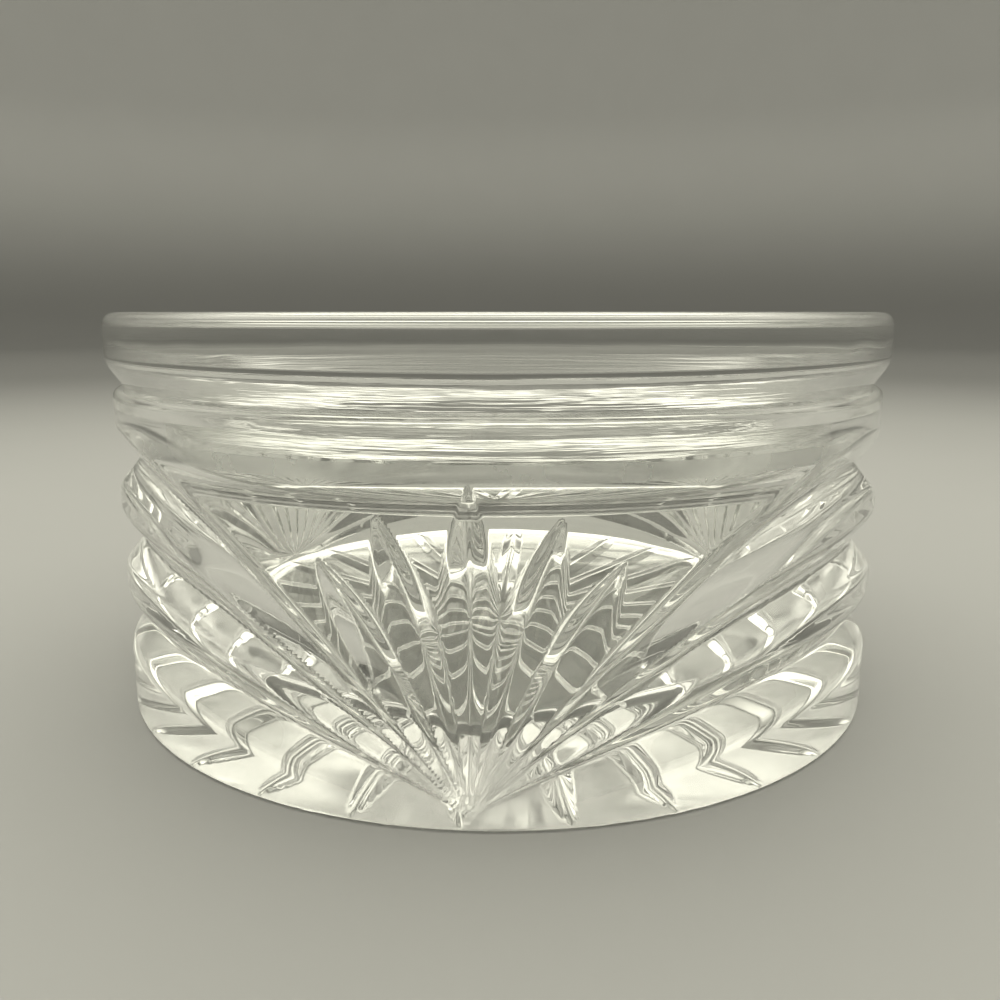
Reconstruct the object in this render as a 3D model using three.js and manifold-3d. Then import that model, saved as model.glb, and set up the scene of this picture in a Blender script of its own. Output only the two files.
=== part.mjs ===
// Round drum-shaped box of clear cut glass, made of a thick-walled base and a loose flat lid.
// Millimetres, +Z up. The origin is the centre of the foot. Azimuths are in degrees,
// counted from the front (-Y) towards +X, and one of the three cut fans faces the front.

import * as THREE from 'three';
import { mergeVertices } from 'three/addons/utils/BufferGeometryUtils.js';
import Module from 'manifold-3d';

// Base, outside
const BASE_RADIUS = 63.5;
const BASE_HEIGHT = 50.7;
const RIM_ROUND = 1.3;
const FOOT_BEVEL = 0.6;

// Base, inside: a turned collar takes the lid's plug, and a cove ends it in a rounded lip
const COLLAR_WALL = 7.1;
const MOUTH_BEVEL_HEIGHT = 3.2;
const MOUTH_BEVEL_WIDTH = 1.2;
const LIP_DEPTH = 12.2;
const LIP_WIDTH = 3.4;
const LIP_ROUND = 0.7;
const COVE_HEIGHT = 5.2;
const CAVITY_DRAFT = 0.9;
const FLOOR_THICKNESS = 7.4;
const FLOOR_ROUND = 3.0;

// Lid: a disc with a bevelled underside, and a plug that drops into the collar
const LID_OVERHANG = 0.8;
const LID_THICKNESS = 11.1;
const LID_EDGE_ROUND = 2.0;
const LID_BAND = 6.2;
const LID_BEVEL_ANGLE = 34;
const LID_BEVEL_ROUND = 4.0;
const LID_SEAT_GAP = 0.3;
const PLUG_CLEARANCE = 1.2;
const PLUG_DEPTH = 6.2;
const PLUG_CHAMFER = 0.8;

// Fans: mitre cuts that spread from one point low on the wall
const FAN_COUNT = 3;
const FAN_FOOT_HEIGHT = 2.3;
const CUT_HALF_ANGLE = 51;
const CUTTER_MARGIN = 0.8;
const CUT_END_LIFT = 0.15;
const SHORT_CUT_DEPTH = 2.3;
const SHORT_WIDEST = 0.57;
const SHORT_FOOT_FULLNESS = 1.25;
const SHORT_TIP_FULLNESS = 2.3;
const SHORT_CUT_STEPS = 10;
const RIM_TO_TIP = 7.9;
// Tip of each short ray: azimuth from the fan's middle, and drop below the middle ray's tip
const SHORT_RAYS = [
  { azimuth: 0, drop: 0 },
  { azimuth: 9.8, drop: 3.8 },
  { azimuth: 16.7, drop: 9.4 },
];

// Arches: long cuts that rise from one fan's foot and fall to the next fan's foot
const LONG_CUT_DEPTH = 3.3;
const LONG_FULLNESS = 1.3;
const ARCH_RUN_IN = 35;
const ARCH_STEPS = 24;
const LOWEST_FLANK_ANGLE = 80;
const LOWEST_SPREAD = 4.4;
const RIM_TO_CREST = 10.3;
// How early each arch bends over, from the highest to the lowest. Their crests are evenly spaced.
const ARCH_BENDS = [2.0, 2.25, 2.4];

// Star under the foot
const STAR_RAYS = 28;
const STAR_TURN = -1.4;
const STAR_INNER_RADIUS = 3.0;
const STAR_FOOT_RING = 2.2;
const STAR_DEPTH = 0.9;
const STAR_HALF_WIDTH = 1.6;
const STAR_FULLNESS = 2.0;
const STAR_STEPS = 6;

// Facets round the axis: a multiple of the number of fans
const ROUND_FACETS = 72;
const ARC_STEPS = 4;

// Sizes that follow from the ones above
const COLLAR_RADIUS = BASE_RADIUS - COLLAR_WALL;
const WELL_RADIUS = COLLAR_RADIUS - LIP_WIDTH;
const WELL_FOOT_RADIUS = WELL_RADIUS - CAVITY_DRAFT;
const LIP_HEIGHT = BASE_HEIGHT - LIP_DEPTH;
const LID_RADIUS = BASE_RADIUS + LID_OVERHANG;
const LID_SEAT = BASE_HEIGHT + LID_SEAT_GAP;
const LID_TOP = LID_SEAT + LID_THICKNESS;
const PLUG_RADIUS = COLLAR_RADIUS - PLUG_CLEARANCE;
const PLUG_FOOT = BASE_HEIGHT - PLUG_DEPTH;
const FAN_PITCH = 360 / FAN_COUNT;
const TOP_ARCH_RISE = BASE_HEIGHT - RIM_TO_CREST - FAN_FOOT_HEIGHT;
const STAR_OUTER_RADIUS = BASE_RADIUS - FOOT_BEVEL - STAR_FOOT_RING;

const wasm = await Module();
wasm.setup();

const radians = THREE.MathUtils.degToRad;

// Point on a circle round the axis
function onCircle(azimuth, radius, height) {
  const angle = radians(azimuth);
  return new THREE.Vector3(radius * Math.sin(angle), -radius * Math.cos(angle), height);
}

// Points of an arc in a profile, from one angle to another. Its height may differ from its width.
function arc(centreX, centreY, width, startAngle, endAngle, height = width) {
  const points = [];
  for (let step = 0; step <= ARC_STEPS; step += 1) {
    const angle = radians(startAngle + ((endAngle - startAngle) * step) / ARC_STEPS);
    points.push([centreX + width * Math.cos(angle), centreY + height * Math.sin(angle)]);
  }
  return points;
}

// Closed geometry as a solid that can be cut
function toSolid(geometry) {
  const bare = new THREE.BufferGeometry();
  bare.setAttribute('position', geometry.getAttribute('position').clone());
  bare.setIndex(geometry.getIndex());
  const merged = mergeVertices(bare, 1e-4);
  const index = merged.getIndex().array;
  const corners = [];
  for (let i = 0; i < index.length; i += 3) {
    const [a, b, c] = [index[i], index[i + 1], index[i + 2]];
    if (a !== b && b !== c && c !== a) corners.push(a, b, c);
  }
  return new wasm.Manifold(
    new wasm.Mesh({
      numProp: 3,
      vertProperties: new Float32Array(merged.getAttribute('position').array),
      triVerts: new Uint32Array(corners),
    }),
  );
}

// Solid as a geometry with one normal for each facet
function toGeometry(solid) {
  const mesh = solid.getMesh();
  const geometry = new THREE.BufferGeometry();
  geometry.setAttribute('position', new THREE.BufferAttribute(mesh.vertProperties, 3));
  geometry.setIndex(new THREE.BufferAttribute(mesh.triVerts, 1));
  const faceted = geometry.toNonIndexed();
  faceted.computeVertexNormals();
  return faceted;
}

// Solid of revolution round +Z from a profile of [radius, height] points
function turned(profile) {
  const points = profile.map(([radius, height]) => new THREE.Vector2(radius, height));
  const geometry = new THREE.LatheGeometry(points, ROUND_FACETS);
  geometry.rotateX(Math.PI / 2);
  return toSolid(geometry);
}

// Cutter with a triangular section that changes from station to station.
// Each station is three points: the bottom of the cut, and one far point on each side.
function cutter(stations) {
  const positions = stations.flat().flatMap((point) => point.toArray());
  const index = [];
  const last = 3 * (stations.length - 1);
  for (let start = 0; start < last; start += 3) {
    for (let side = 0; side < 3; side += 1) {
      const a = start + side;
      const b = start + ((side + 1) % 3);
      index.push(a, b + 3, b, a, a + 3, b + 3);
    }
  }
  index.push(0, 1, 2, last, last + 2, last + 1);
  const geometry = new THREE.BufferGeometry();
  geometry.setAttribute('position', new THREE.BufferAttribute(new Float32Array(positions), 3));
  geometry.setIndex(index);
  return toSolid(geometry);
}

// Depth of a cut: it comes in from just outside the glass at distance 0, and is full at 1
function cutDepth(fullDepth, distance, fullness) {
  const share = 1 - (1 - Math.min(distance, 1)) ** fullness;
  return (fullDepth + CUT_END_LIFT) * share - CUT_END_LIFT;
}

// Station of a cut in the outer wall. The slope is that of the cut on the unrolled wall,
// and each flank leans away from the wall's normal by its own angle.
function wallStation(azimuth, height, slope, depth, upperAngle, lowerAngle) {
  const reach = depth + CUTTER_MARGIN;
  const across = new THREE.Vector2(-Math.sin(slope), Math.cos(slope));
  const side = (distance) =>
    onCircle(
      azimuth + THREE.MathUtils.radToDeg((across.x * distance) / BASE_RADIUS),
      BASE_RADIUS + CUTTER_MARGIN,
      height + across.y * distance,
    );
  return [
    onCircle(azimuth, BASE_RADIUS - depth, height),
    side(-reach * Math.tan(radians(lowerAngle))),
    side(reach * Math.tan(radians(upperAngle))),
  ];
}

// Short ray from the fan's foot to its tip, straight on the unrolled wall
function shortRay(fanAzimuth, tipAzimuth, tipHeight) {
  const rise = tipHeight - FAN_FOOT_HEIGHT;
  const slope = Math.atan2(rise, radians(tipAzimuth) * BASE_RADIUS);
  const stations = [];
  for (let step = 0; step <= SHORT_CUT_STEPS; step += 1) {
    const along = step / SHORT_CUT_STEPS;
    const fromFoot = cutDepth(SHORT_CUT_DEPTH, along / SHORT_WIDEST, SHORT_FOOT_FULLNESS);
    const fromTip = cutDepth(SHORT_CUT_DEPTH, (1 - along) / (1 - SHORT_WIDEST), SHORT_TIP_FULLNESS);
    const depth = Math.min(fromFoot, fromTip);
    const azimuth = fanAzimuth + tipAzimuth * along;
    const height = FAN_FOOT_HEIGHT + rise * along;
    stations.push(wallStation(azimuth, height, slope, depth, CUT_HALF_ANGLE, CUT_HALF_ANGLE));
  }
  return cutter(stations);
}

// Long cut that arches over from the foot of one fan to the foot of the next
function arch(fanAzimuth, rise, bend, isLowest) {
  const half = FAN_PITCH / 2;
  const stations = [];
  for (let step = 0; step <= ARCH_STEPS; step += 1) {
    const azimuth = (FAN_PITCH * step) / ARCH_STEPS;
    const fromEnd = Math.min(azimuth, FAN_PITCH - azimuth);
    const left = 1 - fromEnd / half;
    const height = FAN_FOOT_HEIGHT + rise * (1 - left ** bend);
    const steepness = (rise * bend * left ** (bend - 1)) / (radians(half) * BASE_RADIUS);
    const slope = Math.atan(azimuth < half ? steepness : -steepness);
    const depth = cutDepth(LONG_CUT_DEPTH, fromEnd / ARCH_RUN_IN, LONG_FULLNESS);
    const flank = isLowest ? lowestFlank(depth) : CUT_HALF_ANGLE;
    stations.push(wallStation(fanAzimuth + azimuth, height, slope, depth, CUT_HALF_ANGLE, flank));
  }
  return cutter(stations);
}

// The lowest arch keeps its lower edge wide where the cut gets shallow, so its flank lies flatter
function lowestFlank(depth) {
  const angle = THREE.MathUtils.radToDeg(Math.atan2(LOWEST_SPREAD, Math.max(depth, 0)));
  return THREE.MathUtils.clamp(angle, CUT_HALF_ANGLE, LOWEST_FLANK_ANGLE);
}

// All the cuts of the outer wall
function wallCuts() {
  const cuts = [];
  for (let fan = 0; fan < FAN_COUNT; fan += 1) {
    const fanAzimuth = fan * FAN_PITCH;
    for (const { azimuth, drop } of SHORT_RAYS) {
      const height = BASE_HEIGHT - RIM_TO_TIP - drop;
      cuts.push(shortRay(fanAzimuth, azimuth, height));
      if (azimuth > 0) cuts.push(shortRay(fanAzimuth, -azimuth, height));
    }
    ARCH_BENDS.forEach((bend, level) => {
      const rise = TOP_ARCH_RISE * (1 - level / ARCH_BENDS.length);
      cuts.push(arch(fanAzimuth, rise, bend, level === ARCH_BENDS.length - 1));
    });
  }
  return cuts;
}

// One ray of the star under the foot, deepest half way out
function starRay(azimuth) {
  const stations = [];
  for (let step = 0; step <= STAR_STEPS; step += 1) {
    const along = step / STAR_STEPS;
    const radius = THREE.MathUtils.lerp(STAR_INNER_RADIUS, STAR_OUTER_RADIUS, along);
    const depth = cutDepth(STAR_DEPTH, 2 * Math.min(along, 1 - along), STAR_FULLNESS);
    const half = (STAR_HALF_WIDTH * (depth + CUTTER_MARGIN)) / STAR_DEPTH;
    const middle = onCircle(azimuth, radius, -CUTTER_MARGIN);
    const across = onCircle(azimuth + 90, half, 0);
    stations.push([
      onCircle(azimuth, radius, depth),
      middle.clone().add(across),
      middle.clone().sub(across),
    ]);
  }
  return cutter(stations);
}

// Outline of the uncut base, from the middle of the foot round to the middle of the floor
function baseProfile() {
  const rimEdge = BASE_RADIUS - RIM_ROUND;
  const roundEdge = WELL_FOOT_RADIUS - FLOOR_ROUND;
  const lipEdge = WELL_RADIUS + LIP_ROUND;
  return [
    [0, 0],
    [BASE_RADIUS - FOOT_BEVEL, 0],
    [BASE_RADIUS, FOOT_BEVEL],
    ...arc(rimEdge, BASE_HEIGHT - RIM_ROUND, RIM_ROUND, 0, 90),
    [COLLAR_RADIUS + MOUTH_BEVEL_WIDTH, BASE_HEIGHT],
    [COLLAR_RADIUS, BASE_HEIGHT - MOUTH_BEVEL_HEIGHT],
    ...arc(lipEdge, LIP_HEIGHT + COVE_HEIGHT, COLLAR_RADIUS - lipEdge, 0, -90, COVE_HEIGHT),
    ...arc(lipEdge, LIP_HEIGHT - LIP_ROUND, LIP_ROUND, 90, 180).slice(1),
    ...arc(roundEdge, FLOOR_THICKNESS + FLOOR_ROUND, FLOOR_ROUND, 0, -90),
    [0, FLOOR_THICKNESS],
  ];
}

// Outline of the lid, from the middle of the underside round to the middle of the top
function lidProfile() {
  const bevel = radians(LID_BEVEL_ANGLE);
  const roundFoot = LID_TOP - LID_BAND - LID_BEVEL_ROUND * Math.sin(bevel);
  const roundEdge = LID_RADIUS - LID_BEVEL_ROUND * (1 - Math.cos(bevel));
  const bevelFoot = roundEdge - (roundFoot - LID_SEAT) * Math.tan(bevel);
  return [
    [0, PLUG_FOOT],
    [PLUG_RADIUS - PLUG_CHAMFER, PLUG_FOOT],
    [PLUG_RADIUS, PLUG_FOOT + PLUG_CHAMFER],
    [PLUG_RADIUS, LID_SEAT],
    [bevelFoot, LID_SEAT],
    ...arc(LID_RADIUS - LID_BEVEL_ROUND, LID_TOP - LID_BAND, LID_BEVEL_ROUND, -LID_BEVEL_ANGLE, 0),
    ...arc(LID_RADIUS - LID_EDGE_ROUND, LID_TOP - LID_EDGE_ROUND, LID_EDGE_ROUND, 0, 90),
    [0, LID_TOP],
  ];
}

// Base with its fans, arches and star
function buildBase() {
  const star = [];
  for (let ray = 0; ray < STAR_RAYS; ray += 1) {
    star.push(starRay(STAR_TURN + (360 * ray) / STAR_RAYS));
  }
  let body = turned(baseProfile());
  for (const cut of [...wallCuts(), ...star]) {
    body = body.subtract(cut);
  }
  return toGeometry(body);
}

function buildLid() {
  return toGeometry(turned(lidProfile()));
}

const glass = {
  color: 0xe9eee8,
  roughness: 0.04,
  metalness: 0,
  transparent: true,
  opacity: 0.35,
};

const base = new THREE.Mesh(buildBase(), new THREE.MeshStandardMaterial(glass));
base.name = 'glass_base';

const lid = new THREE.Mesh(buildLid(), new THREE.MeshStandardMaterial(glass));
lid.name = 'glass_lid';

const box = new THREE.Group();
box.add(base, lid);

export default box;
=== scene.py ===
"""A round box of clear cut glass with a loose flat lid, as a plain studio picture.

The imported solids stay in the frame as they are. The two glass pieces are made here again as fine
meshes of the same sizes, so that the cuts run softly into the wall and the turned faces bend light
smoothly. A cut is a depth that is known at every place on the wall. Where cuts cross, the deepest
one counts, and the ridge between two of them is a little rounded.
Sizes are in millimetres and angles in degrees, unless a comment says otherwise. An azimuth is
counted from the front towards +X.
"""

import logging
import math
from dataclasses import dataclass
from enum import Enum

import bpy
import numpy as np
from mathutils import Matrix, Vector


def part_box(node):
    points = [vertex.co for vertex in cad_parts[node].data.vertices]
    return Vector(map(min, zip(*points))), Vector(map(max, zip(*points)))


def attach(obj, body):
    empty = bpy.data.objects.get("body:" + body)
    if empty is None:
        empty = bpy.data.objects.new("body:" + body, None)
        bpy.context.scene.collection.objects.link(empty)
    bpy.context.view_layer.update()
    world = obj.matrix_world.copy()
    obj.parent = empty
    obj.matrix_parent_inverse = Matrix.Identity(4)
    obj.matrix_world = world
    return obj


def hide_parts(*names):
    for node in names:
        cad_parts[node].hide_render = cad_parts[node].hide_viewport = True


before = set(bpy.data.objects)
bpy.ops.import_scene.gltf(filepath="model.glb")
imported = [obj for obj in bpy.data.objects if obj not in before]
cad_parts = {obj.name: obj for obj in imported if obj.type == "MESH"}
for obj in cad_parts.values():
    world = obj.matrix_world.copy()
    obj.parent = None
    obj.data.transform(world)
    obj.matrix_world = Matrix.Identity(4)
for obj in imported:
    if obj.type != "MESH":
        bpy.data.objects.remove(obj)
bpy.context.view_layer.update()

log = logging.getLogger("glass_box")

MILLIMETRE = 0.001
# Height of the lid's flat over the rim of the base.
SEAT_GAP = 0.3
# Least depth that the softness of a cut's edge is worked out from.
SHALLOWEST = 0.05
# How far off the slope of the cuts is measured.
SLOPE_STEP = 0.1

Profile = list[tuple[float, float]]
Face = tuple[int, ...]
Grid = np.ndarray
Socket = bpy.types.NodeSocket
Feed = float | tuple[float, ...] | Socket


class Flank(Enum):
    """How the lower side of a cut leans away from the wall."""

    EVEN = "the same as the upper side"
    SPREAD = "flatter where the cut is shallow"


def on_circle(azimuth: float, radius: float, height: float) -> Vector:
    """Gives a point on a circle round the axis.

    Args:
        azimuth: Angle from the front.
        radius: Distance from the axis.
        height: Height above the foot.

    Returns:
        The point, in millimetres.
    """
    angle = math.radians(azimuth)
    return Vector((radius * math.sin(angle), -radius * math.cos(angle), height))


def arc(
    centre: tuple[float, float], radius: float, start: float, end: float, steps: int
) -> Profile:
    """Gives the points of an arc in a profile.

    Args:
        centre: The arc's centre, as distance from the axis and height.
        radius: The arc's radius.
        start: Angle of the first point.
        end: Angle of the last point.
        steps: Number of chords.

    Returns:
        The points from start to end.
    """
    points = []
    for step in range(steps + 1):
        angle = math.radians(start + (end - start) * step / steps)
        points.append((centre[0] + radius * math.cos(angle), centre[1] + radius * math.sin(angle)))
    return points


def strip_face(low: int, facets: int, turn: int) -> Face:
    """Gives a face between a ring of vertices and the ring after it.

    Args:
        low: Number of the first vertex of the first ring.
        facets: Number of vertices in each ring.
        turn: Place of the face round the axis.

    Returns:
        The vertex numbers of the face.
    """
    after = (turn + 1) % facets
    high = low + facets
    return (low + turn, low + after, high + after, high + turn)


def linked_object(name: str, points: list[Vector], faces: list[Face]) -> bpy.types.Object:
    """Makes a mesh object and links it to the scene.

    Args:
        name: Name of the object and of its mesh.
        points: Vertices.
        faces: Vertex numbers of each face.

    Returns:
        The new object.
    """
    mesh = bpy.data.meshes.new(name)
    mesh.from_pydata(points, [], faces)
    mesh.validate()
    made = bpy.data.objects.new(name, mesh)
    bpy.context.scene.collection.objects.link(made)
    return made


def turned_object(name: str, profile: Profile, facets: int) -> bpy.types.Object:
    """Turns a profile round the axis into a closed mesh.

    Args:
        name: Name of the object.
        profile: Points from the axis round to the axis again, counter-clockwise.
        facets: Number of flats round the axis.

    Returns:
        The object, in millimetres, linked to the scene.
    """
    rings = profile[1:-1]
    points = [Vector((0.0, 0.0, profile[0][1])), Vector((0.0, 0.0, profile[-1][1]))]
    for radius, height in rings:
        points += [on_circle(360 * turn / facets, radius, height) for turn in range(facets)]
    last = 2 + (len(rings) - 1) * facets
    faces = []
    for turn in range(facets):
        after = (turn + 1) % facets
        faces.append((0, 2 + after, 2 + turn))
        faces.append((1, last + turn, last + after))
        faces += [strip_face(2 + ring * facets, facets, turn) for ring in range(len(rings) - 1)]
    return linked_object(name, points, faces)


def settle(piece: bpy.types.Object, crease: float) -> None:
    """Brings a piece from millimetres to the frame's metres and smooths its shading.

    Args:
        piece: The piece.
        crease: Faces that meet at more than this angle keep a sharp edge.
    """
    mesh = piece.data
    mesh.transform(Matrix.Scale(MILLIMETRE, 4))
    mesh.polygons.foreach_set("use_smooth", [True] * len(mesh.polygons))
    mesh.set_sharp_from_angle(angle=math.radians(crease))
    mesh.update()


def cut_depth(full_depth: float, distance: Grid, fullness: float) -> Grid:
    """Gives the depth of a cut's bottom line on its way in from the surface.

    Args:
        full_depth: Its greatest depth.
        distance: 0 where the cut comes in, 1 where it is full, below 0 outside it.
        fullness: How soon it gets deep.

    Returns:
        The depth, below 0 outside the cut.
    """
    return full_depth * (1 - (1 - np.minimum(distance, 1)) ** fullness)


def softened(depth: Grid, rounding: Grid) -> Grid:
    """Lets a cut run softly into the surface beside it.

    Args:
        depth: Depth of the cut, below 0 outside it.
        rounding: Depth within which the two run together.

    Returns:
        The depth, 0 well outside the cut.
    """
    nearness = np.maximum(rounding - np.abs(depth), 0) / rounding
    return np.maximum(depth, 0) + nearness**2 * rounding / 4


def feed(node: bpy.types.Node, inputs: dict[str | int, Feed]) -> None:
    """Feeds a node's sockets.

    Args:
        node: The node.
        inputs: What goes into each socket: a value, or another node's socket.
    """
    for name, value in inputs.items():
        if isinstance(value, Socket):
            node.id_data.links.new(value, node.inputs[name])
        else:
            node.inputs[name].default_value = value


def node_of(
    tree: bpy.types.NodeTree, kind: str, inputs: dict[str | int, Feed], **choices: str
) -> bpy.types.Node:
    """Adds a node, sets it and feeds it.

    Args:
        tree: The nodes that it joins.
        kind: Its kind, without the word that every shader node's kind begins with.
        inputs: What goes into its sockets.
        choices: Its settings, such as the operation.

    Returns:
        The node.
    """
    node = tree.nodes.new(f"ShaderNode{kind}")
    for name, choice in choices.items():
        setattr(node, name, choice)
    feed(node, inputs)
    return node


def worked_out(tree: bpy.types.NodeTree, operation: str, *terms: Feed) -> Socket:
    """Adds a node that works out a number.

    Args:
        tree: The nodes that it joins.
        operation: What it does with the terms.
        terms: Its terms.

    Returns:
        The socket that holds the number.
    """
    return node_of(tree, "Math", dict(enumerate(terms)), operation=operation).outputs["Value"]


@dataclass(frozen=True)
class Zone:
    """A ring-shaped part of a piece whose surface isn't as well polished as the rest.

    Attributes:
        heights: Lowest and highest height.
        radii: Least and greatest distance from the axis.
        strength: Roughness there, or height of the turning marks in millimetres.
    """

    heights: tuple[float, float]
    radii: tuple[float, float]
    strength: float

    def share(self, tree: bpy.types.NodeTree, height: Socket, radius: Socket) -> Socket:
        """Adds the nodes that tell how strongly the zone works at a place.

        Args:
            tree: The material's nodes.
            height: Height of the place, in metres.
            radius: Its distance from the axis, in metres.

        Returns:
            A socket that holds the zone's strength inside it and 0 outside.
        """
        share = self.strength
        for value, (least, most) in ((height, self.heights), (radius, self.radii)):
            middle = (least + most) / 2 * MILLIMETRE
            half = (most - least) / 2 * MILLIMETRE
            inside = worked_out(tree, "COMPARE", value, middle, half)
            share = worked_out(tree, "MULTIPLY", inside, share)
        return share


@dataclass(frozen=True)
class CrystalFinish:
    """Clear polished glass whose surface is a little uneven.

    Attributes:
        name: Name of the material.
        turned: The part where rings left by turning show.
        ground: The unpolished parts.
        tint: Colour that the glass gives to light that enters it.
        index: How strongly it bends light.
        haze: Greatest roughness where the surface is rubbed.
        rubbed_scale: Rubbed patches to a metre.
        rubbed_detail: How fine they are broken up.
        hazy: Between which values of the patches the haze sets in.
        worn: Between which values a ground part gets fully rough.
        least_worn: Share of its roughness that a ground part has everywhere.
        ripple_length: Length of the slow waves of the surface.
        ripple_height: Height of those waves.
        ripple_detail: How fine they are broken up.
        turning_length: Distance between the rings.
        turning_stretch: How many times longer than wide a ring's mark is.
        turning_detail: How fine the rings are broken up.
    """

    name: str
    turned: Zone
    ground: tuple[Zone, ...]
    tint: tuple[float, float, float] = (0.99, 0.995, 0.98)
    index: float = 1.54
    haze: float = 0.03
    rubbed_scale: float = 90.0
    rubbed_detail: float = 6.0
    hazy: tuple[float, float] = (0.55, 0.75)
    worn: tuple[float, float] = (0.35, 0.65)
    least_worn: float = 0.4
    ripple_length: float = 9.0
    ripple_height: float = 0.03
    ripple_detail: float = 1.0
    turning_length: float = 0.3
    turning_stretch: float = 40.0
    turning_detail: float = 2.0

    def material(self) -> bpy.types.Material:
        """Builds the material.

        Returns:
            The node material.
        """
        made = bpy.data.materials.new(self.name)
        made.use_nodes = True
        tree = made.node_tree
        place = node_of(tree, "TexCoord", {}).outputs["Object"]
        height = node_of(tree, "SeparateXYZ", {"Vector": place}).outputs["Z"]
        level = node_of(tree, "VectorMath", {0: place, 1: (1.0, 1.0, 0.0)}, operation="MULTIPLY")
        reach = node_of(tree, "VectorMath", {0: level.outputs["Vector"]}, operation="LENGTH")
        radius = reach.outputs["Value"]
        feed(
            tree.nodes["Principled BSDF"],
            {
                "Base Color": (*self.tint, 1.0),
                "IOR": self.index,
                "Transmission Weight": 1.0,
                "Roughness": self.roughness(tree, place, height, radius),
                "Normal": self.unevenness(tree, place, height, radius),
            },
        )
        return made

    def roughness(
        self, tree: bpy.types.NodeTree, place: Socket, height: Socket, radius: Socket
    ) -> Socket:
        """Adds the nodes for the rubbed haze and the ground parts.

        Args:
            tree: The material's nodes.
            place: Place on the piece, in metres.
            height: Height of the place, in metres.
            radius: Its distance from the axis, in metres.

        Returns:
            The socket that holds the roughness.
        """
        rubbed = node_of(
            tree,
            "TexNoise",
            {"Vector": place, "Scale": self.rubbed_scale, "Detail": self.rubbed_detail},
        ).outputs["Fac"]
        haze = {"From Min": self.hazy[0], "From Max": self.hazy[1], "To Max": self.haze}
        patches = {"From Min": self.worn[0], "From Max": self.worn[1], "To Min": self.least_worn}
        rough = node_of(tree, "MapRange", {"Value": rubbed, **haze}).outputs["Result"]
        worn = node_of(tree, "MapRange", {"Value": rubbed, **patches}).outputs["Result"]
        for zone in self.ground:
            rough = worked_out(tree, "MULTIPLY_ADD", zone.share(tree, height, radius), worn, rough)
        return rough

    def unevenness(
        self, tree: bpy.types.NodeTree, place: Socket, height: Socket, radius: Socket
    ) -> Socket:
        """Adds the nodes for the slow waves and the rings left by turning.

        Args:
            tree: The material's nodes.
            place: Place on the piece, in metres.
            height: Height of the place, in metres.
            radius: Its distance from the axis, in metres.

        Returns:
            The socket that holds the surface's direction.
        """
        ripple_scale = 1.0 / (self.ripple_length * MILLIMETRE)
        waves = node_of(
            tree, "TexNoise", {"Vector": place, "Scale": ripple_scale, "Detail": self.ripple_detail}
        )
        ripples = node_of(
            tree,
            "Bump",
            {"Distance": self.ripple_height * MILLIMETRE, "Height": waves.outputs["Fac"]},
        )
        across = 1.0 / (self.turning_length * MILLIMETRE)
        along = across / self.turning_stretch
        stretch = {0: place, 1: (along, along, across)}
        stretched = node_of(tree, "VectorMath", stretch, operation="MULTIPLY")
        rings = node_of(
            tree,
            "TexNoise",
            {"Vector": stretched.outputs["Vector"], "Scale": 1.0, "Detail": self.turning_detail},
        )
        turned = self.turned.share(tree, height, radius)
        marks = {
            "Distance": MILLIMETRE,
            "Height": worked_out(tree, "MULTIPLY", rings.outputs["Fac"], turned),
            "Normal": ripples.outputs["Normal"],
        }
        return node_of(tree, "Bump", marks).outputs["Normal"]


@dataclass(frozen=True)
class PaperFinish:
    """Matt paper: pale floor, painted shade on the far floor and curve, painted light up the wall.

    Attributes:
        name: Name of the material.
        floor_shade: Its grey on the floor, from 0 to 1.
        painted_curve_shade: Its grey where it curves up, darker than the floor as painted shade.
        wall_painted_light: Its grey high on the wall, lighter as painted light.
        painted_falloff: Distances from the box over which painted shade darkens the floor,
            in metres.
        rise: Heights between which painted light makes the wall lighter, in metres.
        mottle: How much the grey varies, as a share.
        mottle_scale: Spots of it to a metre.
        roughness: How matt the paper is, from 0 to 1.
    """

    name: str
    floor_shade: float = 0.4
    painted_curve_shade: float = 0.12
    wall_painted_light: float = 0.6
    painted_falloff: tuple[float, float] = (0.15, 0.9)
    rise: tuple[float, float] = (0.05, 0.5)
    mottle: float = 0.02
    mottle_scale: float = 12.0
    roughness: float = 0.7

    def material(self) -> bpy.types.Material:
        """Builds the material.

        Returns:
            The node material.
        """
        made = bpy.data.materials.new(self.name)
        made.use_nodes = True
        tree = made.node_tree
        place = node_of(tree, "TexCoord", {}).outputs["Object"]
        reach = node_of(tree, "VectorMath", {0: place}, operation="LENGTH")
        height = node_of(tree, "SeparateXYZ", {"Vector": place}).outputs["Z"]
        # Painted light: the wall's grey rises from the curve's dark grey to a lighter grey higher
        # up.
        wall = self.between(tree, height, self.rise, (self.painted_curve_shade, self.wall_painted_light))
        # Painted shade: the floor's pale grey darkens with distance from the box to the wall's
        # grey.
        shade = self.between(tree, reach.outputs["Value"], self.painted_falloff, (self.floor_shade, wall))
        spots = node_of(tree, "TexNoise", {"Vector": place, "Scale": self.mottle_scale})
        ends = {"To Min": 1.0 - self.mottle, "To Max": 1.0 + self.mottle}
        mottle = node_of(tree, "MapRange", {"Value": spots.outputs["Fac"], **ends})
        grey = worked_out(tree, "MULTIPLY", shade, mottle.outputs["Result"])
        feed(tree.nodes["Principled BSDF"], {"Roughness": self.roughness, "Base Color": grey})
        return made

    def between(
        self,
        tree: bpy.types.NodeTree,
        value: Socket,
        ends: tuple[float, float],
        shades: tuple[Feed, Feed],
    ) -> Socket:
        """Adds a node that goes softly from one shade to another.

        Args:
            tree: The material's nodes.
            value: What the shade follows.
            ends: Its values where the change begins and ends.
            shades: The shades there.

        Returns:
            The socket that holds the shade.
        """
        inputs = {
            "Value": value,
            "From Min": ends[0],
            "From Max": ends[1],
            "To Min": shades[0],
            "To Max": shades[1],
        }
        node = node_of(tree, "MapRange", inputs, interpolation_type="SMOOTHSTEP")
        return node.outputs["Result"]


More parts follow.
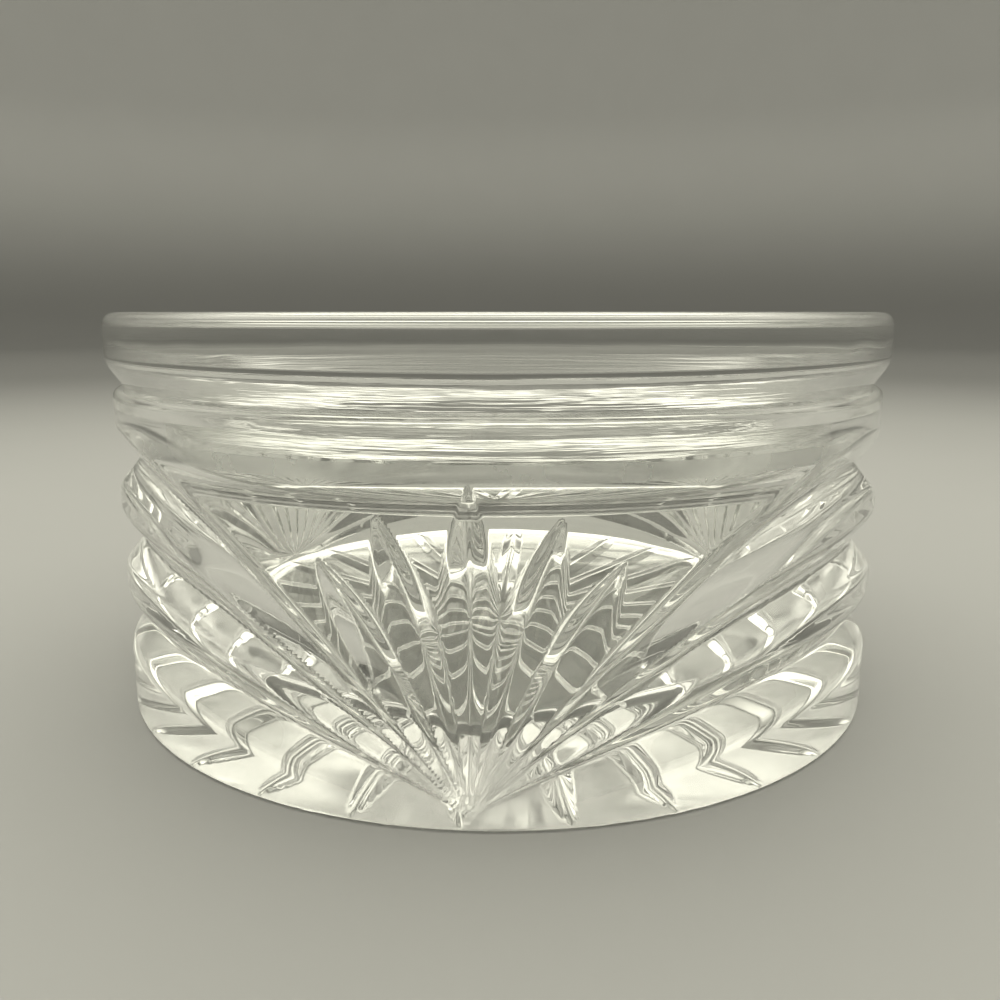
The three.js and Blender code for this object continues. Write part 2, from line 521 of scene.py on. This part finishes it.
@dataclass(frozen=True)
class WheelCut:
    """A groove with two flanks, as a cutting wheel leaves it.

    Attributes:
        full_depth: Its greatest depth.
        half_angle: Lean of each flank from the surface's normal.
        bottom_round: How wide its bottom is rounded.
        edge_share: How softly its edges run into the surface, as a share of its depth.
    """

    full_depth: float
    half_angle: float
    bottom_round: float
    edge_share: float

    def section(self, bottom: Grid, offset: Grid, lean: Grid | float) -> Grid:
        """Gives the depth beside the bottom line.

        Args:
            bottom: Depth of the bottom line, below 0 outside the cut.
            offset: Distance from that line.
            lean: Lean of the flank from the surface's normal.

        Returns:
            The depth, 0 outside the cut.
        """
        aside = np.hypot(offset, self.bottom_round) - self.bottom_round
        depth = bottom - aside / np.tan(np.radians(lean))
        return softened(depth, self.edge_share * np.maximum(bottom, SHALLOWEST))


@dataclass(frozen=True)
class ShortRay(WheelCut):
    """A straight cut with pointed ends, from a fan's foot to a tip.

    Attributes:
        radius: Radius of the wall.
        fan: Azimuth of the fan's foot.
        foot_height: Height of that foot.
        tip_azimuth: Azimuth of the tip, from the fan's.
        tip_height: Height of the tip.
        widest: Where it is deepest, from 0 at the foot to 1 at the tip.
        foot_fullness: How soon it gets deep from the foot.
        tip_fullness: How soon it gets deep from the tip.
    """

    radius: float
    fan: float
    foot_height: float
    tip_azimuth: float
    tip_height: float
    widest: float
    foot_fullness: float
    tip_fullness: float

    def depth(self, azimuth: Grid, height: Grid) -> Grid:
        """Gives the depth of the cut at places on the wall.

        Args:
            azimuth: Azimuth of each place.
            height: Height of each place.

        Returns:
            The depth, 0 outside the cut.
        """
        across = math.radians(self.tip_azimuth) * self.radius
        rise = self.tip_height - self.foot_height
        length = math.hypot(across, rise)
        aside = np.radians((azimuth - self.fan + 180) % 360 - 180) * self.radius
        above = height - self.foot_height
        along = (aside * across + above * rise) / length**2
        offset = (aside * rise - above * across) / length
        from_foot = cut_depth(self.full_depth, along / self.widest, self.foot_fullness)
        left = (1 - along) / (1 - self.widest)
        from_tip = cut_depth(self.full_depth, left, self.tip_fullness)
        return self.section(np.minimum(from_foot, from_tip), offset, self.half_angle)


@dataclass(frozen=True)
class Arch(WheelCut):
    """A long cut that arches from one fan's foot to the next fan's.

    Attributes:
        radius: Radius of the wall.
        fan: Azimuth of the first fan.
        pitch: Azimuth from one fan to the next.
        foot_height: Height of the fans' feet.
        rise: Rise of the arch above them.
        bend: How early it bends over.
        run_in: Azimuth from its end to where it is full.
        fullness: How soon it gets deep.
        flank: Kind of lower flank.
        spread: Half width that the lower flank keeps where the cut is shallow.
        flattest: Greatest lean of the lower flank.
    """

    radius: float
    fan: float
    pitch: float
    foot_height: float
    rise: float
    bend: float
    run_in: float
    fullness: float
    flank: Flank
    spread: float
    flattest: float

    def depth(self, azimuth: Grid, height: Grid) -> Grid:
        """Gives the depth of the cut at places on the wall.

        Args:
            azimuth: Azimuth of each place.
            height: Height of each place.

        Returns:
            The depth, 0 outside the cut.
        """
        half = self.pitch / 2
        from_crest = np.abs((azimuth - self.fan - half + 180) % 360 - 180)
        left = from_crest / half
        line = self.foot_height + self.rise * (1 - left**self.bend)
        reach = math.radians(half) * self.radius
        steepness = self.rise * self.bend * left ** (self.bend - 1) / reach
        offset = (height - line) * np.cos(np.arctan(steepness))
        bottom = cut_depth(self.full_depth, (half - from_crest) / self.run_in, self.fullness)
        lean = self.half_angle
        if self.flank is Flank.SPREAD:
            flat = np.degrees(np.arctan2(self.spread, np.maximum(bottom, 0.0)))
            lower = np.clip(flat, self.half_angle, self.flattest)
            lean = np.where(offset < 0, lower, self.half_angle)
        return self.section(bottom, offset, lean)


@dataclass(frozen=True)
class StarRay(WheelCut):
    """A ray of the star under the foot, deepest half way out.

    Attributes:
        azimuth: Azimuth of the ray.
        inner_radius: Where it begins.
        outer_radius: Where it ends.
        fullness: How soon it gets deep.
    """

    azimuth: float
    inner_radius: float
    outer_radius: float
    fullness: float

    def depth(self, azimuth: Grid, radius: Grid) -> Grid:
        """Gives the depth of the cut at places under the foot.

        Args:
            azimuth: Azimuth of each place.
            radius: Distance of each place from the axis.

        Returns:
            The depth, 0 outside the cut.
        """
        turn = np.radians(azimuth - self.azimuth)
        length = self.outer_radius - self.inner_radius
        along = (radius * np.cos(turn) - self.inner_radius) / length
        bottom = cut_depth(self.full_depth, 2 * np.minimum(along, 1 - along), self.fullness)
        return self.section(bottom, radius * np.sin(turn), self.half_angle)


@dataclass
class CutBase:
    """The drum: thick wall and floor, fans and arches cut in the wall, a star cut in the foot.

    Attributes:
        radius: Radius of the wall.
        height: Height of the rim.
        rim_round: Radius of the rim's outer edge.
        foot_bevel: Radius of the foot's edge.
        foot_steps: Chords of that edge.
        collar_wall: Thickness of the wall at the collar, the wide part of the inside.
        lip_depth: How far below the rim the lip under the collar lies.
        lip_width: How far that lip comes in.
        lip_round: Radius of its edge.
        cove_height: Height of the hollow above it.
        cavity_draft: How much narrower the well is at the floor than at the lip.
        floor_thickness: Thickness of the floor.
        floor_round: Radius of the corner between the well and the floor.
        mouth_bevel_height: Height of the bevel inside the rim.
        mouth_bevel_width: Width of that bevel.
        fan_count: Number of fans.
        fan_foot_height: Height of the point that a fan spreads from.
        cut_half_angle: Lean of the wall cuts' flanks.
        edge_share: How softly the wall cuts run into the wall, as a share of their depth.
        ridge_power: How sharp the ridge between two cuts is.
        bottom_round: How wide the bottoms of the wall cuts are rounded.
        short_cut_depth: Depth of the short rays.
        short_widest: Where a short ray is deepest, from 0 at the foot to 1 at the tip.
        short_foot_fullness: How soon it gets deep from the foot.
        short_tip_fullness: How soon it gets deep from the tip.
        short_rays: Azimuth from the fan's middle and height of each short ray's tip.
        long_cut_depth: Depth of the arches.
        long_fullness: How soon they get deep.
        arch_run_in: Azimuth from their ends to where they are full.
        arches: Rise and bend of each arch.
        lowest_flank_angle: Greatest lean of the lowest arch's lower flank.
        lowest_spread: Half width that this flank keeps.
        star_rays: Number of rays under the foot.
        star_turn: Azimuth of the first one.
        star_inner_radius: Where the rays begin.
        star_foot_ring: Width of the plain ring outside them.
        star_depth: Their depth.
        star_half_angle: Lean of their flanks.
        star_fullness: How soon they get deep.
        star_bottom_round: How wide their bottoms are rounded.
        star_edge_share: How softly they run into the foot, as a share of their depth.
        fine_facets: Points round the axis on the cut side.
        plain_facets: Points round the axis on the turned side.
        wall_rings: Rings of points up the wall.
        foot_rings: Rings of points under the foot.
        arc_steps: Chords of every other rounded edge.
        crease: Faces that meet at more than this angle keep a sharp edge.
    """

    radius: float
    height: float
    rim_round: float = 1.3
    foot_bevel: float = 0.6
    foot_steps: int = 3
    collar_wall: float = 7.1
    lip_depth: float = 12.2
    lip_width: float = 3.4
    lip_round: float = 0.7
    cove_height: float = 5.2
    cavity_draft: float = 0.9
    floor_thickness: float = 7.4
    floor_round: float = 4.0
    mouth_bevel_height: float = 3.2
    mouth_bevel_width: float = 1.2
    fan_count: int = 3
    fan_foot_height: float = 2.3
    cut_half_angle: float = 51.0
    edge_share: float = 0.25
    ridge_power: float = 16.0
    bottom_round: float = 0.25
    short_cut_depth: float = 2.3
    short_widest: float = 0.57
    short_foot_fullness: float = 1.25
    short_tip_fullness: float = 2.3
    short_rays: tuple[tuple[float, float], ...] = ((0.0, 42.8), (9.8, 39.0), (16.7, 33.4))
    long_cut_depth: float = 3.3
    long_fullness: float = 1.3
    arch_run_in: float = 35.0
    arches: tuple[tuple[float, float], ...] = ((38.1, 2.0), (25.4, 2.25), (12.7, 2.4))
    lowest_flank_angle: float = 80.0
    lowest_spread: float = 4.4
    star_rays: int = 28
    star_turn: float = -1.4
    star_inner_radius: float = 3.0
    star_foot_ring: float = 1.5
    star_depth: float = 0.9
    star_half_angle: float = 65.0
    star_fullness: float = 5.0
    star_bottom_round: float = 0.5
    star_edge_share: float = 0.15
    fine_facets: int = 1152
    plain_facets: int = 288
    wall_rings: int = 118
    foot_rings: int = 30
    arc_steps: int = 8
    crease: float = 20.0

    def short_ray(self, fan: float, azimuth: float, height: float) -> ShortRay:
        """Describes one short ray.

        Args:
            fan: Azimuth of its fan.
            azimuth: Azimuth of its tip, from the fan's.
            height: Height of its tip.

        Returns:
            The cut.
        """
        return ShortRay(
            full_depth=self.short_cut_depth,
            half_angle=self.cut_half_angle,
            bottom_round=self.bottom_round,
            edge_share=self.edge_share,
            radius=self.radius,
            fan=fan,
            foot_height=self.fan_foot_height,
            tip_azimuth=azimuth,
            tip_height=height,
            widest=self.short_widest,
            foot_fullness=self.short_foot_fullness,
            tip_fullness=self.short_tip_fullness,
        )

    def arch(self, fan: float, rise: float, bend: float) -> Arch:
        """Describes one arch.

        Args:
            fan: Azimuth of the fan that it begins at.
            rise: Its rise.
            bend: How early it bends over.

        Returns:
            The cut.
        """
        return Arch(
            full_depth=self.long_cut_depth,
            half_angle=self.cut_half_angle,
            bottom_round=self.bottom_round,
            edge_share=self.edge_share,
            radius=self.radius,
            fan=fan,
            pitch=360.0 / self.fan_count,
            foot_height=self.fan_foot_height,
            rise=rise,
            bend=bend,
            run_in=self.arch_run_in,
            fullness=self.long_fullness,
            flank=Flank.SPREAD if rise == min(self.arches)[0] else Flank.EVEN,
            spread=self.lowest_spread,
            flattest=self.lowest_flank_angle,
        )

    def wall_cuts(self) -> list[WheelCut]:
        """Lists the cuts of the wall.

        Returns:
            The short rays and the arches of every fan.
        """
        cuts = []
        for number in range(self.fan_count):
            fan = number * 360.0 / self.fan_count
            for azimuth, height in self.short_rays:
                for side in (azimuth, -azimuth) if azimuth > 0 else (azimuth,):
                    cuts.append(self.short_ray(fan, side, height))
            cuts += [self.arch(fan, rise, bend) for rise, bend in self.arches]
        return cuts

    def star_cuts(self) -> list[WheelCut]:
        """Lists the rays of the star.

        Returns:
            One cut for each ray.
        """
        return [
            StarRay(
                full_depth=self.star_depth,
                half_angle=self.star_half_angle,
                bottom_round=self.star_bottom_round,
                edge_share=self.star_edge_share,
                azimuth=self.star_turn + 360 * ray / self.star_rays,
                inner_radius=self.star_inner_radius,
                outer_radius=self.radius - self.foot_bevel - self.star_foot_ring,
                fullness=self.star_fullness,
            )
            for ray in range(self.star_rays)
        ]

    def sunk(self, cuts: list[WheelCut], azimuth: Grid, second: Grid) -> Grid:
        """Gives how deep a set of cuts goes.

        Args:
            cuts: The cuts.
            azimuth: Azimuth of each place.
            second: Its height on the wall, or its distance from the axis under the foot.

        Returns:
            The depth, 0 where nothing is cut.
        """
        total = 0.0
        for cut in cuts:
            total = total + cut.depth(azimuth, second) ** self.ridge_power
        return total ** (1 / self.ridge_power)

    def outside(self) -> Profile:
        """Outlines the cut side of the drum: the foot, the wall and the rim.

        Returns:
            The points from the middle of the foot to the flat of the rim.
        """
        foot_radius = self.radius - self.foot_bevel
        wall_top = self.height - self.rim_round
        rim_centre = (self.radius - self.rim_round, wall_top)
        bevel_centre = (foot_radius, self.foot_bevel)
        foot = [
            (foot_radius * (ring + 1) / self.foot_rings, 0.0) for ring in range(self.foot_rings)
        ]
        wall = [
            (self.radius, self.foot_bevel + (wall_top - self.foot_bevel) * ring / self.wall_rings)
            for ring in range(self.wall_rings)
        ]
        return [
            *foot,
            *arc(bevel_centre, self.foot_bevel, -90, 0, self.foot_steps)[1:-1],
            *wall,
            *arc(rim_centre, self.rim_round, 0, 90, self.arc_steps),
        ]

    def inside(self) -> Profile:
        """Outlines the turned side of the drum: the mouth, the collar, the well and the floor.

        Returns:
            The points from the flat of the rim to the edge of the flat floor.
        """
        collar_radius = self.radius - self.collar_wall
        well_radius = collar_radius - self.lip_width
        round_edge = well_radius - self.cavity_draft - self.floor_round
        lip = self.height - self.lip_depth
        lip_centre = (well_radius + self.lip_round, lip - self.lip_round)
        cove_width = self.lip_width - self.lip_round
        cove = [
            (lip_centre[0] + cove_width * across, lip + self.cove_height * (1 + down))
            for across, down in arc((0.0, 0.0), 1.0, 0, -90, self.arc_steps)
        ]
        floor_centre = (round_edge, self.floor_thickness + self.floor_round)
        return [
            (collar_radius + self.mouth_bevel_width, self.height),
            (collar_radius, self.height - self.mouth_bevel_height),
            *cove,
            *arc(lip_centre, self.lip_round, 90, 180, self.arc_steps)[1:],
            *arc(floor_centre, self.floor_round, 0, -90, self.arc_steps),
        ]

    def depths(
        self, radius: Grid, height: Grid, azimuth: Grid, aside: float, onward: float
    ) -> Grid:
        """Gives how deep the cuts go at places a little way off the grid's.

        Args:
            radius: Radius of each ring before it is cut.
            height: Height of each ring.
            azimuth: Azimuth of each point of a ring.
            aside: Way off round the axis.
            onward: Way off to the next ring, outward under the foot and upward on the wall.

        Returns:
            The depths, ring by ring.
        """
        under = height[:, 0] == 0
        turned = azimuth + np.degrees(aside / np.maximum(radius, 1.0))
        deep = np.zeros(turned.shape)
        deep[under] = self.sunk(self.star_cuts(), turned[under], radius[under] + onward)
        deep[~under] = self.sunk(self.wall_cuts(), turned[~under], height[~under] + onward)
        return deep

    def surface(self) -> tuple[Grid, Grid, list[bool]]:
        """Places the points of the cut side.

        Returns:
            The points and the surface's direction at each, ring by ring, and for each ring but the
            last whether the strip that follows it is cut.
        """
        profile = self.outside()
        azimuth = (np.arange(self.fine_facets) * 360 / self.fine_facets)[None, :]
        radius = np.array([point[0] for point in profile])[:, None]
        height = np.array([point[1] for point in profile])[:, None]
        under = height == 0
        turn = np.radians(azimuth)

        def deep(aside: float, onward: float) -> Grid:
            """Gives the depths a little way off."""
            return self.depths(radius, height, azimuth, aside, onward)

        sunk = deep(0, 0)
        aside = (deep(SLOPE_STEP, 0) - deep(-SLOPE_STEP, 0)) / (2 * SLOPE_STEP)
        onward = (deep(0, SLOPE_STEP) - deep(0, -SLOPE_STEP)) / (2 * SLOPE_STEP)
        outward = radius - np.where(under, 0.0, sunk)
        upward = height + np.where(under, sunk, 0.0)
        points = [outward * np.sin(turn), -outward * np.cos(turn), upward]
        radial = np.where(under, onward, 1.0)
        normals = np.stack(
            [
                radial * np.sin(turn) + aside * np.cos(turn),
                -radial * np.cos(turn) + aside * np.sin(turn),
                np.where(under, -1.0, onward),
            ],
            axis=-1,
        )
        normals /= np.linalg.norm(normals, axis=-1, keepdims=True)
        foot = under[:, 0]
        wall = radius[:, 0] == self.radius
        cut = (foot[:-1] & foot[1:]) | (wall[:-1] & wall[1:])
        return np.stack(points, axis=-1), normals, list(cut)

    def build(self) -> bpy.types.Object:
        """Makes the drum: the cut side in fine rings, the turned side in plainer ones.

        Returns:
            The finished piece, riding on the base.
        """
        fine, plain = self.fine_facets, self.plain_facets
        points, normals, cut_strips = self.surface()
        turned = self.inside()
        vertices = [Vector((0.0, 0.0, 0.0)), Vector((0.0, 0.0, self.floor_thickness))]
        vertices += [Vector(point) for point in points.reshape(-1, 3)]
        rim = 2 + len(cut_strips) * fine
        mouth = len(vertices)
        for radius, height in turned:
            vertices += [on_circle(360 * turn / plain, radius, height) for turn in range(plain)]
        floor = mouth + (len(turned) - 1) * plain

        cut_faces = []
        plain_faces = []
        for turn in range(fine):
            plain_faces.append((0, 2 + (turn + 1) % fine, 2 + turn))
            for ring, is_cut in enumerate(cut_strips):
                face = strip_face(2 + ring * fine, fine, turn)
                (cut_faces if is_cut else plain_faces).append(face)
        share = fine // plain
        for turn in range(plain):
            after = (turn + 1) % plain
            edge = [rim + (turn * share + number) % fine for number in range(share + 1)]
            plain_faces.append((*edge, mouth + after, mouth + turn))
            plain_faces.append((1, floor + turn, floor + after))
            for ring in range(len(turned) - 1):
                plain_faces.append(strip_face(mouth + ring * plain, plain, turn))
        drum = linked_object("crystal_base", vertices, cut_faces + plain_faces)
        settle(drum, self.crease)

        # A direction of 0 leaves a corner as it is, so only the cut faces get theirs from the cuts.
        directions = np.zeros((len(drum.data.loops), 3))
        corners = np.array(cut_faces).reshape(-1)
        directions[: len(corners)] = normals.reshape(-1, 3)[corners - 2]
        drum.data.normals_split_custom_set(directions)
        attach(drum, "base")
        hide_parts("glass_base")
        return drum

    def dress(self, drum: bpy.types.Object, finish: CrystalFinish) -> None:
        """Gives the drum its finish."""
        drum.data.materials.clear()
        drum.data.materials.append(finish.material())


@dataclass
class FlatLid:
    """The loose disc with a bevelled underside, and the plug under it that drops into the base.

    Attributes:
        radius: Radius of the disc.
        top: Height of its top.
        seat: Height of the flat that stands over the rim.
        plug_foot: Height of the plug's underside.
        edge_round: Radius of the top edge.
        band: Height of the upright edge, with the top edge.
        bevel_angle: Lean of the bevel from upright.
        bevel_round: Radius between the upright edge and the bevel.
        plug_radius: Radius of the plug.
        plug_chamfer: Width of the chamfer round its foot.
        facets: Number of flats round the axis.
        arc_steps: Chords of each rounded edge.
        crease: Faces that meet at more than this angle keep a sharp edge.
    """

    radius: float
    top: float
    seat: float
    plug_foot: float
    edge_round: float = 2.0
    band: float = 6.2
    bevel_angle: float = 34.0
    bevel_round: float = 4.0
    plug_radius: float = 55.2
    plug_chamfer: float = 0.8
    facets: int = 288
    arc_steps: int = 12
    crease: float = 9.0

    def profile(self) -> Profile:
        """Outlines the lid.

        Returns:
            The points from the middle of the underside round to the middle of the top.
        """
        bevel = math.radians(self.bevel_angle)
        round_foot = self.top - self.band - self.bevel_round * math.sin(bevel)
        round_edge = self.radius - self.bevel_round * (1 - math.cos(bevel))
        bevel_foot = round_edge - (round_foot - self.seat) * math.tan(bevel)
        bevel_centre = (self.radius - self.bevel_round, self.top - self.band)
        edge_centre = (self.radius - self.edge_round, self.top - self.edge_round)
        return [
            (0.0, self.plug_foot),
            (self.plug_radius - self.plug_chamfer, self.plug_foot),
            (self.plug_radius, self.plug_foot + self.plug_chamfer),
            (self.plug_radius, self.seat),
            (bevel_foot, self.seat),
            *arc(bevel_centre, self.bevel_round, -self.bevel_angle, 0, self.arc_steps),
            *arc(edge_centre, self.edge_round, 0, 90, self.arc_steps),
            (0.0, self.top),
        ]

    def build(self) -> bpy.types.Object:
        """Turns the lid.

        Returns:
            The finished piece, riding on the lid.
        """
        disc = turned_object("crystal_lid", self.profile(), self.facets)
        settle(disc, self.crease)
        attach(disc, "lid")
        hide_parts("glass_lid")
        return disc

    def dress(self, disc: bpy.types.Object, finish: CrystalFinish) -> None:
        """Gives the lid its finish."""
        disc.data.materials.clear()
        disc.data.materials.append(finish.material())


@dataclass(frozen=True)
class Viewpoint:
    """Where the camera stands and how it looks at the box.

    Attributes:
        azimuth: Azimuth of the camera round the box.
        distance: Its distance from the axis.
        height: Its height above the floor.
        pitch: How far it looks down.
        lens: Its focal length.
        film_width: Width of its picture, on the same scale as the lens.
        shift: How far the picture is moved sideways, as a share of its width.
        nearest: Nearest thing that it sees, in metres.
    """

    azimuth: float = 3.1
    distance: float = 166.2
    height: float = 62.1
    pitch: float = 11.438
    lens: float = 33.48
    film_width: float = 36.0
    shift: float = 0.002
    nearest: float = 0.005


@dataclass
class Studio:
    """Pale paper floor that curves up all round, the room's soft light, and the camera.

    Attributes:
        flat_radius: Radius of the flat floor, in metres.
        curve_radius: Radius of the curve up to the wall, in metres.
        wall_height: Height of the paper wall, in metres.
        middle_radius: Radius of the first ring of the floor, in metres.
        floor_gap: How far the paper lies under the foot, in metres.
        facets: Number of flats of the paper round the box.
        curve_steps: Chords of its curve.
        lowest_grey: Grey of the room at the height of the floor.
        highest_grey: Grey of the room straight above.
        greys_between: Greys in between, each with the sine of its height in the sky.
        front_dim: How much darker the room is on the side of the camera.
        front_ends: Between which places along Y the room gets brighter, from -1 to 1.
        light_tint: Colour of the room's light.
        light_bounces: How often a ray of light may be bent or thrown back.
    """

    flat_radius: float = 1.6
    curve_radius: float = 0.5
    wall_height: float = 0.88
    middle_radius: float = 0.05
    floor_gap: float = 0.0002
    facets: int = 96
    curve_steps: int = 24
    lowest_grey: float = 0.15
    highest_grey: float = 1.85
    greys_between: tuple[tuple[float, float], ...] = ((0.4, 0.32), (0.68, 1.8))
    front_dim: float = 0.3
    front_ends: tuple[float, float] = (-0.6, 0.3)
    light_tint: tuple[float, float, float] = (1.0, 0.98, 0.83)
    light_bounces: int = 64

    def lay_floor(self, finish: PaperFinish) -> None:
        """Lays the paper.

        Args:
            finish: The paper's finish.
        """
        curve_centre = (self.flat_radius, self.curve_radius)
        rings = [(self.middle_radius, 0.0)]
        rings += arc(curve_centre, self.curve_radius, -90, 0, self.curve_steps)
        rings.append((self.flat_radius + self.curve_radius, self.wall_height))
        points = [Vector((0.0, 0.0, 0.0))]
        for radius, height in rings:
            points += [
                on_circle(360 * turn / self.facets, radius, height) for turn in range(self.facets)
            ]
        faces = []
        for turn in range(self.facets):
            faces.append((0, 1 + turn, 1 + (turn + 1) % self.facets))
            for ring in range(len(rings) - 1):
                face = strip_face(1 + ring * self.facets, self.facets, turn)
                faces.append(face[:1] + face[:0:-1])
        paper = linked_object("studio_paper", points, faces)
        paper.data.polygons.foreach_set("use_smooth", [True] * len(faces))
        paper.data.materials.append(finish.material())
        paper.location.z = -self.floor_gap

    def tinted(self, grey: float) -> tuple[float, ...]:
        """Gives a grey of the room in the colour of its light."""
        return (*(grey * part for part in self.light_tint), 1.0)

    def light(self) -> None:
        """Fills the room with soft light, brighter above and behind the box."""
        world = bpy.data.worlds.new("room")
        world.use_nodes = True
        tree = world.node_tree
        place = node_of(tree, "TexCoord", {}).outputs["Generated"]
        parts = node_of(tree, "SeparateXYZ", {"Vector": place})
        greys = node_of(tree, "ValToRGB", {"Fac": parts.outputs["Z"]})
        greys.color_ramp.interpolation = "EASE"
        stops = greys.color_ramp.elements
        stops[0].color = self.tinted(self.lowest_grey)
        stops[1].color = self.tinted(self.highest_grey)
        for rise, grey in self.greys_between:
            stops.new(rise).color = self.tinted(grey)
        side = node_of(
            tree,
            "MapRange",
            {
                "Value": parts.outputs["Y"],
                "From Min": self.front_ends[0],
                "From Max": self.front_ends[1],
                "To Min": 1.0 - self.front_dim,
            },
            interpolation_type="SMOOTHSTEP",
        )
        feed(
            tree.nodes["Background"],
            {"Color": greys.outputs["Color"], "Strength": side.outputs["Result"]},
        )
        bpy.context.scene.world = world
        cycles = bpy.context.scene.cycles
        cycles.max_bounces = self.light_bounces
        cycles.transmission_bounces = self.light_bounces
        cycles.glossy_bounces = self.light_bounces

    def aim_camera(self, view: Viewpoint) -> None:
        """Sets up the camera.

        Args:
            view: Where it stands.
        """
        camera = bpy.data.cameras.new("camera")
        camera.lens = view.lens
        camera.sensor_width = view.film_width
        camera.shift_x = view.shift
        camera.clip_start = view.nearest
        stand = bpy.data.objects.new("camera", camera)
        stand.location = on_circle(view.azimuth, view.distance, view.height) * MILLIMETRE
        stand.rotation_euler = (math.radians(90 - view.pitch), 0.0, math.radians(view.azimuth))
        bpy.context.scene.collection.objects.link(stand)
        bpy.context.scene.camera = stand
        bpy.context.scene.view_settings.view_transform = "Standard"


BASE_CRYSTAL = CrystalFinish(
    name="base_crystal",
    turned=Zone(heights=(44.4, 50.9), radii=(50.0, 57.8), strength=0.012),
    ground=(
        Zone(heights=(-0.05, 0.05), radii=(0.0, 62.5), strength=0.22),
        Zone(heights=(42.1, 44.5), radii=(55.0, 57.8), strength=0.3),
    ),
)
LID_CRYSTAL = CrystalFinish(
    name="lid_crystal",
    turned=Zone(heights=(44.6, 55.0), radii=(54.0, 64.5), strength=0.02),
    ground=(Zone(heights=(44.6, 55.0), radii=(54.0, 64.5), strength=0.1),),
)
PAPER = PaperFinish(name="pale_paper")


def main() -> None:
    """Builds the box, its studio and its camera."""
    logging.basicConfig(level=logging.INFO, format="%(name)s: %(message)s")
    base_low, base_high = (Vector(corner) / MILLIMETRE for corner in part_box("glass_base"))
    lid_low, lid_high = (Vector(corner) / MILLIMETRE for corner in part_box("glass_lid"))

    base = CutBase(radius=(base_high.x - base_low.x) / 2, height=base_high.z)
    drum = base.build()
    base.dress(drum, BASE_CRYSTAL)
    log.info("%s: %d faces", drum.name, len(drum.data.polygons))

    lid = FlatLid(
        radius=(lid_high.x - lid_low.x) / 2,
        top=lid_high.z,
        seat=base_high.z + SEAT_GAP,
        plug_foot=lid_low.z,
    )
    disc = lid.build()
    lid.dress(disc, LID_CRYSTAL)
    log.info("%s: %d faces", disc.name, len(disc.data.polygons))

    studio = Studio()
    studio.lay_floor(PAPER)
    studio.light()
    studio.aim_camera(Viewpoint())


if __name__ == "__main__":
    main()
